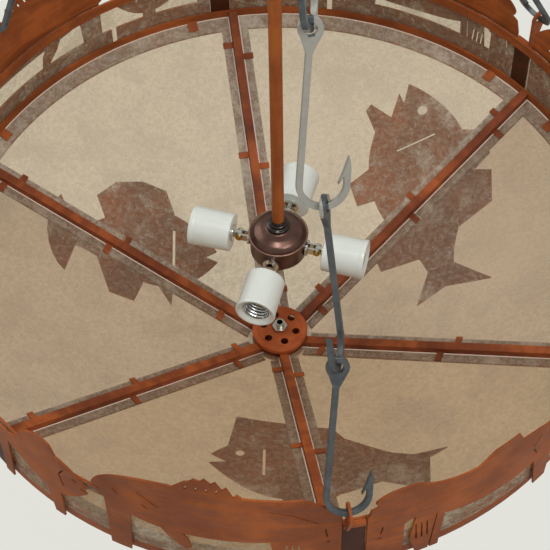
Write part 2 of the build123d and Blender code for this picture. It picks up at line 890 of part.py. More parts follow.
def sunfish_face(length, depth):
    """A round-bodied fish with fan-shaped fins and a fan tail."""
    shape = fish_body(length, depth * 0.86)
    fan = [(0.84, 0.1)] + [
        (0.84 + 0.16 * cos(radians(a)), 0.5 * sin(radians(a))) for a in range(64, -65, -16)
    ] + [(0.84, -0.1)]
    shape += fin(length, depth, fan)
    shape += fin(
        length,
        depth,
        [
            (0.24, 0.4), (0.28, 0.64), (0.42, 0.72), (0.58, 0.68), (0.7, 0.5),
            (0.66, 0.26)
        ],
    )
    shape += fin(length, depth, [(0.46, -0.44), (0.52, -0.68), (0.66, -0.62), (0.72, -0.22)])
    shape += fin(length, depth, [(0.28, -0.42), (0.3, -0.66), (0.37, -0.44)])
    shape -= Pos(0.13 * length, 0.12 * depth) * Circle(0.024 * length)
    shape -= slit(length, depth, (0.25, 0.22), (0.27, -0.22), fin_slit * 1.6)
    return shape


fish_top = -(rib_sheet + fish_clearance)


def bowl_fish(face, length, place, heading):
    """Press a silhouette onto the cone under the ribs, its middle at a place in plan."""
    flat = Pos(*place) * Rot(0, 0, heading + 180) * Pos(-length / 2, 0) * face
    block = Pos(0, 0, mica_z0 - 60) * extrude(flat, slope * ring_radius + 100)
    return block & cone_shell(20, ring_inner - 2, fish_top - fish_thickness, fish_top)


bass = bass_face(bass_length, bass_depth)
trout = trout_face(trout_length, trout_depth)
sunfish = sunfish_face(sunfish_length, sunfish_depth)
write("bowl_bass", bowl_fish(bass, bass_length, bass_place, bass_heading))
write("bowl_trout", bowl_fish(trout, trout_length, trout_place, trout_heading))
sunfish_turned = mirror(sunfish, Plane.XZ)
write("bowl_sunfish", bowl_fish(sunfish_turned, sunfish_length, sunfish_place, sunfish_heading))


def spiny_fin(length, depth, start, end, rise):
    """A back fin whose crest is a row of spines, tallest in the middle."""
    spines = 7
    step = (end - start) / spines
    crest = []
    for k in range(spines):
        height = 0.46 + rise * sin(radians(180 * (k + 0.5) / spines))
        crest += [(start + step * k, height - 0.06), (start + step * (k + 0.4), height)]
    return fin(length, depth, [(start, 0.3)] + crest + [(end, 0.44), (end, 0.3)])


def rivet_slot(length, depth):
    """The slot and the rivet's hole beside the post, where a plate is drawn up to the bar."""
    x = 1 - rivet_inset / length
    hole = Pos(length * x, -0.52 * depth) * Circle(rivet_radius)
    return slit(length, depth, (x - 0.01, -0.22), (x - 0.002, -0.42), fin_slit) + hole


def fin_slits(length, depth, start, top, low, count):
    """Narrow cuts down a fin, side by side."""
    cuts = Sketch()
    for k in range(count):
        x = start + 0.024 * k
        cuts += slit(length, depth, (x, top), (x - 0.008, low), fin_slit)
    return cuts


def perch_face(length, depth, low):
    """A tall frieze fish: spiny back, throat plate, leaf-shaped fin and a tail down to the ring."""
    upper = [(0.0, 0.0), (0.07, 0.28), (0.2, 0.46), (0.36, 0.52), (0.62, 0.47), (0.85, 0.44)]
    back = [(length * x, depth * y) for x, y in upper]
    tail = [(0.85, 0.44), (0.91, 0.32), (0.96, 0.18), (1.0, 0.02)]
    tail_top = [(length * x, depth * y) for x, y in tail]
    lower = [(0.8, -0.46), (0.62, -0.5), (0.4, -0.5), (0.2, -0.43), (0.06, -0.24), (0.0, -0.1)]
    belly = [(length * x, depth * y) for x, y in lower]
    shape = make_face(
        Spline(*back)
        + Spline(*tail_top)
        + Polyline(tail_top[-1], (length, depth * low), (0.8 * length, depth * low), belly[0])
        + Spline(*belly)
        + Polyline(belly[-1], (0.05 * length, -0.06 * depth), back[0])
    )
    shape += spiny_fin(length, depth, 0.34, 0.63, 0.34)
    shape += fin(length, depth, [(0.05, -0.15), (0.05, low), (0.14, low), (0.16, -0.36)])
    shape += fin(
        length,
        depth,
        [(0.27, -0.4), (0.31, -0.62), (0.38, -0.84), (0.405, -0.8), (0.395, -0.62), (0.36, -0.45)],
    )
    shape += fin(length, depth, [(0.72, -0.42), (0.765, low), (0.81, low), (0.81, -0.4)])
    shape -= fin_slits(length, depth, 0.79, -0.56, low + 0.22, 3)
    for x in (0.4, 0.44, 0.48, 0.52):
        shape -= slit(length, depth, (x, 0.53), (x + 0.012, 0.61), fin_slit)
    shape -= slit(length, depth, (0.725, 0.21), (0.815, 0.13), fin_slit)
    shape -= slit(length, depth, (0.812, 0.135), (0.91, -0.08), fin_slit)
    shape -= slit(length, depth, (0.2, 0.18), (0.285, -0.04), fin_slit)
    shape -= slit(length, depth, (0.215, -0.06), (0.235, -0.14), fin_slit)
    shape -= slit(length, depth, (0.095, 0.06), (0.115, -0.02), fin_slit)
    return shape - rivet_slot(length, depth)


def pike_face(length, depth, low):
    """A long frieze fish with a raised tail over the post and slit fins on the ring."""
    upper = [(0.0, -0.12), (0.12, 0.22), (0.32, 0.42), (0.52, 0.42), (0.68, 0.48), (0.8, 0.68)]
    back = [(length * x, depth * y) for x, y in upper]
    lobe = [(0.8, 0.68), (0.88, 0.68), (0.945, 0.58), (0.97, 0.46), (0.95, 0.36)]
    tail = [(length * x, depth * y) for x, y in lobe]
    lower = [(0.85, -0.3), (0.79, -0.2), (0.7, -0.34), (0.5, -0.52), (0.22, -0.5), (0.0, -0.24)]
    belly = [(length * x, depth * y) for x, y in lower]
    shape = make_face(
        Spline(*back)
        + Spline(*tail)
        + Polyline(
            tail[-1],
            (0.985 * length, 0.3 * depth),
            (length, 0.08 * depth),
            (length, depth * low),
            (0.85 * length, depth * low),
            belly[0],
        )
        + Spline(*belly)
        + Polyline(belly[-1], (0.07 * length, -0.16 * depth), back[0])
    )
    shape += fin(length, depth, [(0.3, 0.36), (0.34, 0.66), (0.46, 0.62), (0.56, 0.36)])
    shape += fin(
        length, depth, [(0.8, -0.1), (0.822, -0.8), (0.79, low), (0.735, low), (0.71, -0.2)]
    )
    shape += fin(length, depth, [(0.705, -0.2), (0.727, low), (0.69, low), (0.67, -0.2)])
    shape -= fin_slits(length, depth, 0.752, -0.42, -0.86, 3)
    shape += fin(length, depth, [(0.1, -0.3), (0.12, low), (0.19, low), (0.22, -0.4)])
    shape -= slit(length, depth, (0.2, 0.16), (0.24, -0.06), fin_slit)
    shape -= slit(length, depth, (0.24, -0.06), (0.21, -0.3), fin_slit)
    shape -= Pos(0.1 * length, 0.0) * Circle(0.014 * length)
    return shape - rivet_slot(length, depth)


def bream_face(length, depth, low):
    """A short, deep frieze fish between the long one's nose and the plain post."""
    shape = fish_body(length, depth)
    shape += fin(
        length,
        depth,
        [(0.84, 0.14), (0.93, 0.16), (1.0, 0.06), (1.0, low), (0.9, low), (0.86, -0.14)],
    )
    shape += fin(
        length,
        depth,
        [(0.27, 0.44), (0.32, 0.7), (0.42, 0.78), (0.56, 0.66), (0.66, 0.48), (0.72, 0.2)],
    )
    shape += fin(length, depth, [(0.3, -0.4), (0.3, low), (0.4, low), (0.44, -0.44)])
    shape -= slit(length, depth, (0.2, 0.26), (0.27, 0.05), fin_slit)
    shape -= slit(length, depth, (0.27, 0.05), (0.24, -0.24), fin_slit)
    return shape - Pos(0.11 * length, 0.1 * depth) * Circle(0.025 * length)


post_half = degrees(asin((post_width / 2 + frieze_gap) / frieze_inner))
bay_half = half_bay - post_half
nose_angle = degrees(nose_gap / frieze_inner)
long_half = (bay_half - nose_angle / 2) * long_fish_share
short_half = (bay_half - nose_angle / 2) * (1 - long_fish_share)


def frieze_piece(face, depth, rise, half_angle, mirrored, on_strip):
    """One frieze fish rolled to the band's radius and centred on +X."""
    length = 2 * frieze_inner * sin(radians(half_angle))
    low = -(rise + ring_height - tail_lift) / depth
    drawn = face(length, depth, low)
    if on_strip:
        top = (base_strip_rise - rise) / depth
        drawn += fin(length, depth, [(0.0, low), (1.0, low), (1.0, top), (0.0, top)])
    flat = Pos(-length / 2, 0) * drawn
    if mirrored:
        flat = mirror(flat, Plane.YZ)
    facing = Plane((0, 0, ring_top + rise), x_dir=(0, 1, 0), z_dir=(1, 0, 0))
    block = extrude(facing * flat, 2 * frieze_outer, dir=(1, 0, 0))
    return block & tube(frieze_outer, frieze_inner, ring_low, ring_top + rise + depth)


def bay(ear_above, on_strip):
    """The two fish of one bay, placed between its posts at 0 and one bay below."""
    long_end, short_end = (0, -2 * half_bay) if ear_above else (-2 * half_bay, 0)
    inward = -1 if ear_above else 1
    if ear_above:
        long_fish = frieze_piece(perch_face, perch_depth, perch_rise, long_half, False, on_strip)
    else:
        long_fish = frieze_piece(pike_face, pike_depth, pike_rise, long_half, True, on_strip)
    short_fish = frieze_piece(
        bream_face, bream_depth, bream_rise, short_half, ear_above, on_strip
    )
    return [
        spin(long_fish, long_end + inward * (post_half + long_half)),
        spin(short_fish, short_end - inward * (post_half + short_half)),
    ]


frieze = []
for k, azimuth in enumerate(post_azimuths):
    frieze += [spin(fish, azimuth) for fish in bay(k % 2 == 1, k in base_strip_bays)]
write("frieze_fish", *frieze)

# Hub: a spun cover over the rib ends, a dished plate under them, nipple, nut and cap nut
cover_low = rib_top_z0 + slope * hub_cover_radius + 0.4
hub_bore = nipple_radius + thread_gap
step_radius = hub_cover_radius * 0.76
hub_cover = turned_points(
    (hub_bore, hub_top - hub_cover_wall),
    (hub_bore, hub_top),
    (step_radius, hub_top),
    (step_radius + hub_step, hub_top - hub_step),
    (hub_cover_radius - hub_step, hub_top - hub_step),
    (hub_cover_radius, hub_top - 2 * hub_step),
    (hub_cover_radius, cover_low),
    (hub_cover_radius - hub_cover_wall, cover_low),
    (hub_cover_radius - hub_cover_wall, hub_top - hub_step - hub_cover_wall),
    (step_radius, hub_top - hub_step - hub_cover_wall),
    (step_radius - hub_step, hub_top - hub_cover_wall),
)
hub_hole = Pos(hub_hole_circle, 0, hub_top) * Cylinder(hub_hole_radius, 4 * hub_cover_wall)
for k in range(hub_hole_count):
    hub_cover -= spin(hub_hole, first_rib_azimuth + hub_hole_turn + 360 / hub_hole_count * k)
write("hub_cover", hub_cover)
plate_drop = -flange_drop - 0.5
write(
    "hub_plate",
    cone_shell(hub_bore, hub_cover_radius, plate_drop - hub_plate_thickness, plate_drop),
)
plate_low = mica_z0 + (plate_drop - hub_plate_thickness) * square + slope * hub_bore
finial_low = plate_low - finial_height
nipple_top = hub_top + hub_nut_height + hub_nipple_stand
write("hub_nipple", tube(nipple_radius, hub_nipple_bore, plate_low - finial_height / 2, nipple_top))
hub_nut = Pos(0, 0, hub_top + hub_nut_height / 2) * (
    extrude(RegularPolygon(hub_nut_across / 2, 6, major_radius=False), hub_nut_height / 2, both=True)
    - Cylinder(hub_bore, 2 * hub_nut_height)
)
write("hub_nut", hub_nut)
ball = Pos(0, 0, finial_low + finial_ball) * Sphere(finial_ball)
seat = tube(finial_radius, 0, plate_low - finial_seat, plate_low)
waist = tube(finial_radius / 2 + 1, 0, finial_low + finial_ball, plate_low)
finial = ball + seat + waist - tube(hub_bore, 0, plate_low - finial_height / 2, plate_low)
write("finial", finial)
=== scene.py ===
import json
import math

import bpy
import numpy as np
from mathutils import Matrix, Vector


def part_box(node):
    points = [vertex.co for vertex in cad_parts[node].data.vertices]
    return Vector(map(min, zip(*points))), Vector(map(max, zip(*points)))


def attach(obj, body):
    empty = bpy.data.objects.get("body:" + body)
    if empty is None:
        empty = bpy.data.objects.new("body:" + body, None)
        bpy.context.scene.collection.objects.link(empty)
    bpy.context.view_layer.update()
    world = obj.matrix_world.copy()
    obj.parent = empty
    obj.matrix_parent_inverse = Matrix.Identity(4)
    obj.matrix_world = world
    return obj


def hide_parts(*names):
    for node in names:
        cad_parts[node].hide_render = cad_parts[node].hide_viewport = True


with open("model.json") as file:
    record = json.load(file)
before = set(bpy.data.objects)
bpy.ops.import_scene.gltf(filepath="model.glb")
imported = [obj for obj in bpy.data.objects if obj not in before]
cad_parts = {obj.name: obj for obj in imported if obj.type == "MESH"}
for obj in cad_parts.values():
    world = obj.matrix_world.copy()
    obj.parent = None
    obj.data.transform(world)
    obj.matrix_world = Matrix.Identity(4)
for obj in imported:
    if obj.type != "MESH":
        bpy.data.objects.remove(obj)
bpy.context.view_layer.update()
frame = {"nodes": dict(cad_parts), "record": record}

# The picture: a longer lens looking steeply down into the bowl from in front of it and above the
# ceiling plane, so that the chains and the stem run up out of the frame.
lens_in_pixels = 1713.4
picture_size = 550
sensor_width = 36.0
view_reach = 50.0
camera_place = Vector((-0.0095, -1.0826, 0.613))
camera_pitch = math.radians(54.16)
camera_yaw = math.radians(0.277)
camera_roll = math.radians(-1.10)

forward = Vector((
    math.sin(camera_yaw) * math.cos(camera_pitch),
    math.cos(camera_yaw) * math.cos(camera_pitch),
    -math.sin(camera_pitch),
))
level = Vector((math.cos(camera_yaw), -math.sin(camera_yaw), 0.0))
upward = level.cross(forward)
picture_right = math.cos(camera_roll) * level + math.sin(camera_roll) * upward
picture_up = -math.sin(camera_roll) * level + math.cos(camera_roll) * upward
camera_data = bpy.data.cameras.new("camera")
camera_data.sensor_width = sensor_width
camera_data.lens = lens_in_pixels * sensor_width / picture_size
camera_data.clip_end = view_reach
camera = bpy.data.objects.new("camera", camera_data)
bpy.context.scene.collection.objects.link(camera)
camera.matrix_world = Matrix.Translation(camera_place) @ Matrix(
    (picture_right, picture_up, -forward)
).transposed().to_4x4()
bpy.context.scene.camera = camera
bpy.context.scene.view_settings.view_transform = "Standard"

# The studio: a pale floor well below the bowl, a large soft lamp high in front on the right, a
# small one overhead that glints in the bowl, a weaker one behind on the left, and an even pale
# surround. Floor and surround are seen brighter than they light, so the ground looks even.
floor_colour = "#EBEBE4"
floor_height = -2.6
floor_reach = 40.0
floor_glow = 0.75
lamp_aim = (0.0, 0.0, -0.8)
key_place = (1.1, -1.5, 1.6)
key_size = 1.4
key_power = 27.0
top_place = (-0.1, -0.72, 1.7)
top_aim = (0.0, 0.0, -0.9)
top_size = 0.55
top_power = 13.0
fill_place = (-1.8, 1.2, 0.8)
fill_size = 1.6
fill_power = 12.0
surround_strength = 0.62


def paint(hex_colour):
    """Linear red, green, blue and alpha from an sRGB hex colour: each channel c becomes
    c / 12.92 up to 0.04045, and ((c + 0.055) / 1.055) ^ 2.4 above it."""
    parts = [int(hex_colour[k : k + 2], 16) / 255 for k in (1, 3, 5)]
    linear = [c / 12.92 if c <= 0.04045 else ((c + 0.055) / 1.055) ** 2.4 for c in parts]
    return (*linear, 1.0)


def add_node(tree, kind, given=()):
    """Add a node; each given name is a setting or an input, and a socket as value is linked."""
    node = tree.nodes.new(kind)
    for name, value in dict(given).items():
        if isinstance(name, str) and hasattr(node, name):
            setattr(node, name, value)
        elif isinstance(value, bpy.types.NodeSocket):
            tree.links.new(value, node.inputs[name])
        else:
            node.inputs[name].default_value = value
    return node


def new_material(name):
    """An empty node material and its tree."""
    material = bpy.data.materials.new(name)
    material.use_nodes = True
    material.node_tree.nodes.clear()
    return material, material.node_tree


def finish_material(tree, shader):
    """Connect the last shader to the surface output."""
    add_node(tree, "ShaderNodeOutputMaterial", {"Surface": shader.outputs[0]})


floor_material, tree = new_material("pale_floor")
lit_floor = add_node(tree, "ShaderNodeBsdfDiffuse", {"Color": paint(floor_colour)})
seen_floor = add_node(tree, "ShaderNodeEmission", {"Color": paint(floor_colour)})
ray = add_node(tree, "ShaderNodeLightPath")
seen = add_node(tree, "ShaderNodeMath", {
    "operation": "MAXIMUM", 0: ray.outputs["Is Camera Ray"], 1: ray.outputs["Is Glossy Ray"],
})
seen_share = add_node(tree, "ShaderNodeMath", {
    "operation": "MULTIPLY", 0: seen.outputs[0], 1: floor_glow,
})
finish_material(tree, add_node(tree, "ShaderNodeMixShader", {
    0: seen_share.outputs[0], 1: lit_floor.outputs[0], 2: seen_floor.outputs[0],
}))
floor_corners = [
    (x * floor_reach, y * floor_reach, floor_height)
    for x, y in ((-1, -1), (1, -1), (1, 1), (-1, 1))
]
floor_mesh = bpy.data.meshes.new("floor")
floor_mesh.from_pydata(floor_corners, [], [(0, 1, 2, 3)])
floor = bpy.data.objects.new("floor", floor_mesh)
floor_mesh.materials.append(floor_material)
bpy.context.scene.collection.objects.link(floor)


def soft_lamp(name, place, aim, size, power):
    """A square area lamp at a place, turned towards an aim."""
    data = bpy.data.lights.new(name, "AREA")
    data.size = size
    data.energy = power
    lamp = bpy.data.objects.new(name, data)
    bpy.context.scene.collection.objects.link(lamp)
    lamp.location = place
    lamp.rotation_euler = (Vector(aim) - Vector(place)).to_track_quat("-Z", "Y").to_euler()


soft_lamp("key_lamp", key_place, lamp_aim, key_size, key_power)
soft_lamp("top_lamp", top_place, top_aim, top_size, top_power)
soft_lamp("fill_lamp", fill_place, lamp_aim, fill_size, fill_power)
world = bpy.data.worlds.new("surround")
bpy.context.scene.world = world
world.use_nodes = True
world.node_tree.nodes.clear()
surround_ray = add_node(world.node_tree, "ShaderNodeLightPath")
surround_seen = add_node(world.node_tree, "ShaderNodeMapRange", {
    "Value": surround_ray.outputs["Is Camera Ray"], "To Min": surround_strength, "To Max": 1.0,
})
surround = add_node(world.node_tree, "ShaderNodeBackground", {
    "Color": paint(floor_colour), "Strength": surround_seen.outputs[0],
})
add_node(world.node_tree, "ShaderNodeOutputWorld", {"Surface": surround.outputs[0]})

# Painted steel: the ribs, rings, posts and fish are cut from mild sheet and the stem and canopy
# from tube and sheet, all coated in one rust-brown paint that is rubbed back by hand, so the
# colour drifts over a hand's width, shows brush streaks and has a fine dry grain.
band_tones = ("#75391B", "#8A4722", "#A8592A")
rib_tones = ("#65301A", "#7F4023", "#A8582C")
# Painted light: the bowl fish are lighter and redder than the same paint elsewhere, to make up for
# the shade that the mica casts on them.
bowl_fish_lightened_tones = ("#7C3B24", "#9A5032", "#B8663E")
tube_tones = ("#854522", "#985129", "#AA5F2D")
# Painted light: the hub's tones are lighter than the rest, for its top that faces up into the
# lamps.
hub_lit_tones = ("#8E431E", "#A4512A", "#B86234")
# Painted shade: the posts are darkened below the upper ring's top, where they stand in shade
# between the fish plates; the lip and ear above keep the rust paint.
post_shade_tint = "#7D7E86"
lip_height = 0.006
sheet_roughness = 0.56
rib_roughness = 0.5
tube_roughness = 0.48
hub_roughness = 0.44
rubbed_smoother = 0.08
brushed_rougher = 0.1
paint_specular = 0.16
# Streaks to a metre along X, Y and Z: 56 mm long and 6 mm high on cut sheet, 71 mm tall and 6 mm
# wide on the tube, and 17 mm blotches on the hub.
level_streaks = (18.0, 18.0, 160.0)
upright_streaks = (160.0, 160.0, 14.0)
hub_blotches = (60.0, 60.0, 60.0)
# The drift is 60 mm across. The real grain is too fine to show, so it is drawn 1.4 mm coarse.
rust_drift = 0.06
rust_grain = 0.0014
rust_grain_height = 0.00005
streak_share = 0.45
grain_share = 0.22
dark_until = 0.6
mid_at = 0.81
light_from = 1.0
# Nearly all of a noise lies between these.
noise_low = 0.3
noise_high = 0.7
# A Mix node's two colours and its mixed colour, by number because other kinds share their names.
colour_a, colour_b, mixed = 6, 7, 2


def rust_paint(name, tones, roughness, streaks_to_metre, shade_top=None):
    """Rubbed paint: broad drift, streaks along one axis and fine grain pick between three tones.
    Below a given height the colour is darkened by a dull grey tint, as painted shade."""
    material, tree = new_material(name)
    place = add_node(tree, "ShaderNodeTexCoord").outputs["Object"]
    drift = add_node(tree, "ShaderNodeTexNoise", {
        "Vector": place, "Scale": 1 / rust_drift, "Detail": 4.0, "Roughness": 0.6,
    })
    grain = add_node(tree, "ShaderNodeTexNoise", {
        "Vector": place, "Scale": 1 / rust_grain, "Detail": 2.0,
    })
    drawn_out = add_node(tree, "ShaderNodeMapping", {"Vector": place, "Scale": streaks_to_metre})
    streaks = add_node(tree, "ShaderNodeTexNoise", {
        "Vector": drawn_out.outputs["Vector"], "Scale": 1.0, "Detail": 3.0, "Distortion": 0.4,
    })
    rubbed = add_node(tree, "ShaderNodeMath", {
        "operation": "MULTIPLY_ADD",
        0: streaks.outputs["Fac"], 1: streak_share, 2: drift.outputs["Fac"],
    })
    blend = add_node(tree, "ShaderNodeMath", {
        "operation": "MULTIPLY_ADD",
        0: grain.outputs["Fac"], 1: grain_share, 2: rubbed.outputs[0],
    })
    picked = add_node(tree, "ShaderNodeValToRGB", {"Fac": blend.outputs[0]})
    dark, mid, light = (paint(tone) for tone in tones)
    first, last = picked.color_ramp.elements
    first.position, first.color = dark_until, dark
    last.position, last.color = light_from, light
    picked.color_ramp.elements.new(mid_at).color = mid
    colour = picked.outputs["Color"]
    # Painted shade below the given height.
    if shade_top is not None:
        height = add_node(tree, "ShaderNodeSeparateXYZ", {0: place}).outputs["Z"]
        shaded_below = add_node(tree, "ShaderNodeMath", {
            "operation": "LESS_THAN", 0: height, 1: shade_top,
        })
        colour = add_node(tree, "ShaderNodeMix", {
            "data_type": "RGBA", "blend_type": "MULTIPLY", "Factor": shaded_below.outputs[0],
            colour_a: colour, colour_b: paint(post_shade_tint),
        }).outputs[mixed]
    rough = add_node(tree, "ShaderNodeMapRange", {
        "Value": streaks.outputs["Fac"], "From Min": noise_low, "From Max": noise_high,
        "To Min": roughness - rubbed_smoother, "To Max": roughness + brushed_rougher,
    })
    bump = add_node(tree, "ShaderNodeBump", {
        "Height": grain.outputs["Fac"], "Distance": rust_grain_height, "Strength": 0.6,
    })
    finish_material(tree, add_node(tree, "ShaderNodeBsdfPrincipled", {
        "Base Color": colour, "Roughness": rough.outputs["Result"],
        "Specular IOR Level": paint_specular, "Normal": bump.outputs["Normal"],
    }))
    return material


def coat(nodes, material):
    """Give CAD nodes their finish."""
    for name in nodes:
        slots = frame["nodes"][name].data.materials
        slots.clear()
        slots.append(material)


band_paint = rust_paint(
    "rubbed_rust_paint_on_cut_sheet", band_tones, sheet_roughness, level_streaks
)
rib_paint = rust_paint("rubbed_rust_paint_on_ribs", rib_tones, rib_roughness, level_streaks)
lightened_plate_paint = rust_paint(
    "rust_paint_on_bowl_fish_lightened_against_mica_shade", bowl_fish_lightened_tones, sheet_roughness, level_streaks
)
stem_paint = rust_paint("rubbed_rust_paint_on_tube", tube_tones, tube_roughness, upright_streaks)
lit_hub_paint = rust_paint("rust_paint_on_hub_with_painted_top_light", hub_lit_tones, hub_roughness, hub_blotches)
_, upper_ring_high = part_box("upper_ring")
shaded_post_paint = rust_paint(
    "rubbed_rust_paint_with_painted_shade_below", band_tones, sheet_roughness, level_streaks,
    shade_top=upper_ring_high[2] - lip_height,
)
coat(["band_posts"], shaded_post_paint)
coat(["lower_ring", "upper_ring", "frieze_fish"], band_paint)
coat(["bowl_bass", "bowl_trout", "bowl_sunfish"], lightened_plate_paint)
coat([f"rib_{k}" for k in range(1, 7)], rib_paint)
coat(["stem", "canopy", "stem_collar"], stem_paint)
coat(["hub_cover", "hub_plate", "finial"], lit_hub_paint)

# Cluster: a spun steel cap with a rolled bead round its rim over a turned body, in dark
# oil-rubbed bronze lacquer that rubs lighter on the bead, under a black stepped neck. The cap and
# neck take the place of the plain solids. Their outlines are in mm from the top of the cap.
steps_around = 72
corner_steps = 5
longest_corner = 0.45
crease = math.radians(40.0)
cap_corner = 1.6
neck_corner = 0.5
cap_outline = [
    (9.0, -2.0), (18.5, -3.4), (24.5, -6.8), (28.8, -12.8), (30.2, -12.8), (29.2, -10.2),
    (25.5, -5.6), (19.0, -2.4), (12.4, -1.2), (11.5, 0.0), (9.0, -0.2),
]
neck_outline = [
    (6.4, 0.0), (12.2, 0.0), (12.2, 3.6), (9.4, 4.6), (9.4, 7.8), (8.2, 8.5), (8.2, 11.5),
    (6.4, 11.5),
]
bead_middle = (30.3, -12.0)
bead_half_height = 1.2
bead_steps = 12
# Soft clouds about 14 mm across, 70 to a metre.
lacquer_clouds = 70.0
lacquer_wander = 0.25
around = np.linspace(0, 2 * np.pi, steps_around, endpoint=False)


def round_corners(outline, reach):
    """A closed (radius, height) outline in mm with each corner swapped for a short curve:
    point = (1-t)^2 * enter + 2t(1-t) * corner + t^2 * leave, reach mm either side of it."""
    corners = np.array(outline, dtype=float)
    before = np.roll(corners, 1, axis=0) - corners
    after = np.roll(corners, -1, axis=0) - corners
    length_before = np.linalg.norm(before, axis=1, keepdims=True)
    length_after = np.linalg.norm(after, axis=1, keepdims=True)
    enter = corners + before / length_before * np.minimum(reach, longest_corner * length_before)
    leave = corners + after / length_after * np.minimum(reach, longest_corner * length_after)
    t = np.linspace(0, 1, corner_steps)[None, :, None]
    curve = (1 - t) ** 2 * enter[:, None] + 2 * t * (1 - t) * corners[:, None]
    curve = curve + t**2 * leave[:, None]
    return curve.reshape(-1, 2)


def closed_skin(points):
    """Faces of a grid of points, rows by turns, that closes on itself both ways."""
    rows, turns = points.shape[:2]
    row, column = np.meshgrid(np.arange(rows), np.arange(turns), indexing="ij")
    next_row = (row + 1) % rows
    next_column = (column + 1) % turns
    return np.stack((
        row * turns + column,
        row * turns + next_column,
        next_row * turns + next_column,
        next_row * turns + column,
    ), axis=-1).reshape(-1, 4)


def add_skin(name, points, material, place, axis):
    """A mesh from a closed grid in mm whose own Z is laid along an axis from a place in metres."""
    turn = np.array(Vector(axis).to_track_quat("Z", "Y").to_matrix())
    placed = points.reshape(-1, 3) / 1000 @ turn.T + np.array(place)
    mesh = bpy.data.meshes.new(name)
    mesh.from_pydata(placed.tolist(), [], closed_skin(points).tolist())
    mesh.shade_smooth()
    mesh.set_sharp_from_angle(angle=crease)
    mesh.materials.append(material)
    piece = bpy.data.objects.new(name, mesh)
    bpy.context.scene.collection.objects.link(piece)
    return piece


def turned(radius, height):
    """Grid about Z, rows by turns: x = r cos a, y = r sin a, z = height, from a column of
    heights and a column of radii, or a radius for every turn."""
    rows_of_height = np.broadcast_to(height, (len(height), steps_around))
    return np.stack((radius * np.cos(around), radius * np.sin(around), rows_of_height), axis=-1)


def lacquer(name, dark, light, metallic, roughness, coat_weight):
    """Dark lacquer over metal: two tones in soft clouds under a clear coat."""
    material, tree = new_material(name)
    place = add_node(tree, "ShaderNodeTexCoord").outputs["Object"]
    cloud = add_node(tree, "ShaderNodeTexNoise", {
        "Vector": place, "Scale": lacquer_clouds, "Detail": 4.0,
    })
    tones = add_node(tree, "ShaderNodeMix", {
        "data_type": "RGBA", "Factor": cloud.outputs["Fac"],
        colour_a: paint(dark), colour_b: paint(light),
    })
    rough = add_node(tree, "ShaderNodeMapRange", {
        "Value": cloud.outputs["Fac"], "To Min": roughness * (1 - lacquer_wander),
        "To Max": roughness * (1 + lacquer_wander),
    })
    finish_material(tree, add_node(tree, "ShaderNodeBsdfPrincipled", {
        "Base Color": tones.outputs[mixed], "Metallic": metallic, "Roughness": rough.outputs[0],
        "Coat Weight": coat_weight, "Coat Roughness": 0.12,
    }))
    return material


bronze = lacquer(
    "oil_rubbed_bronze_lacquer", "#45312B", "#7C5C51",
    metallic=0.9, roughness=0.3, coat_weight=0.15,
)
rubbed_bronze = lacquer(
    "rubbed_bronze_bead", "#7A5A4E", "#A88577", metallic=0.9, roughness=0.3, coat_weight=0.1
)
black_lacquer = lacquer(
    "black_lacquer_on_turned_brass", "#15100E", "#34261F",
    metallic=0.4, roughness=0.2, coat_weight=0.3,
)
coat(["cluster_body"], bronze)
coat(["cluster_nut"], black_lacquer)
_, plain_cap_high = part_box("cluster_cap")
cap_top = (0.0, 0.0, round(plain_cap_high[2], 6))
up = (0.0, 0.0, 1.0)
cap_line = round_corners(cap_outline, cap_corner)
neck_line = round_corners(neck_outline, neck_corner)
bead_angles = np.linspace(0, 2 * np.pi, bead_steps, endpoint=False)[:, None]
cap_grid = turned(cap_line[:, :1], cap_line[:, 1:])
neck_grid = turned(neck_line[:, :1], neck_line[:, 1:])
bead_grid = turned(
    bead_middle[0] + bead_half_height * np.cos(bead_angles),
    bead_middle[1] + bead_half_height * np.sin(bead_angles),
)
cap = add_skin("spun_cap", cap_grid, bronze, cap_top, up)
bead = add_skin("cap_bead", bead_grid, rubbed_bronze, cap_top, up)
neck = add_skin("stepped_neck", neck_grid, black_lacquer, cap_top, up)
for piece in (cap, bead, neck):
    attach(piece, "fixture")
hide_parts("cluster_cap")
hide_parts("cluster_coupling")

# Swivels: small pressed steel parts, nickel plated, bright and a little uneven, on polished brass
# pivot screws. The lamp contacts are brass too. The threaded nipples, the hub nut and the
# crossbar are steel with a duller zinc plate.
nickel_colour = "#D2D0C8"
brass_colour = "#C9A65A"
zinc_colour = "#BDBAB0"
# The plating wanders over about 5 mm, 220 times to a metre.
plating_wander = 220.0
brightest = 0.6
dullest = 1.5


def plated(name, colour, roughness):
    """Bright metal whose roughness wanders over a few millimetres."""
    material, tree = new_material(name)
    place = add_node(tree, "ShaderNodeTexCoord").outputs["Object"]
    wander = add_node(tree, "ShaderNodeTexNoise", {
        "Vector": place, "Scale": plating_wander, "Detail": 3.0,
    })
    rough = add_node(tree, "ShaderNodeMapRange", {
        "Value": wander.outputs["Fac"],
        "To Min": roughness * brightest, "To Max": roughness * dullest,
    })
    finish_material(tree, add_node(tree, "ShaderNodeBsdfPrincipled", {
        "Base Color": paint(colour), "Metallic": 1.0, "Roughness": rough.outputs["Result"],
    }))
    return material


nickel = plated("nickel_plate", nickel_colour, roughness=0.2)
brass = plated("polished_brass", brass_colour, roughness=0.24)
zinc = plated("zinc_plated_steel", zinc_colour, roughness=0.26)
coat([f"swivel_{part}_{k}" for part in ("base", "head") for k in range(1, 5)], nickel)
coat(["hub_nipple", "hub_nut", "cluster_nipple", "hang_nipple", "crossbar"], zinc)
coat(["swivel_screws"] + [f"centre_contact_{k}" for k in range(1, 5)], brass)

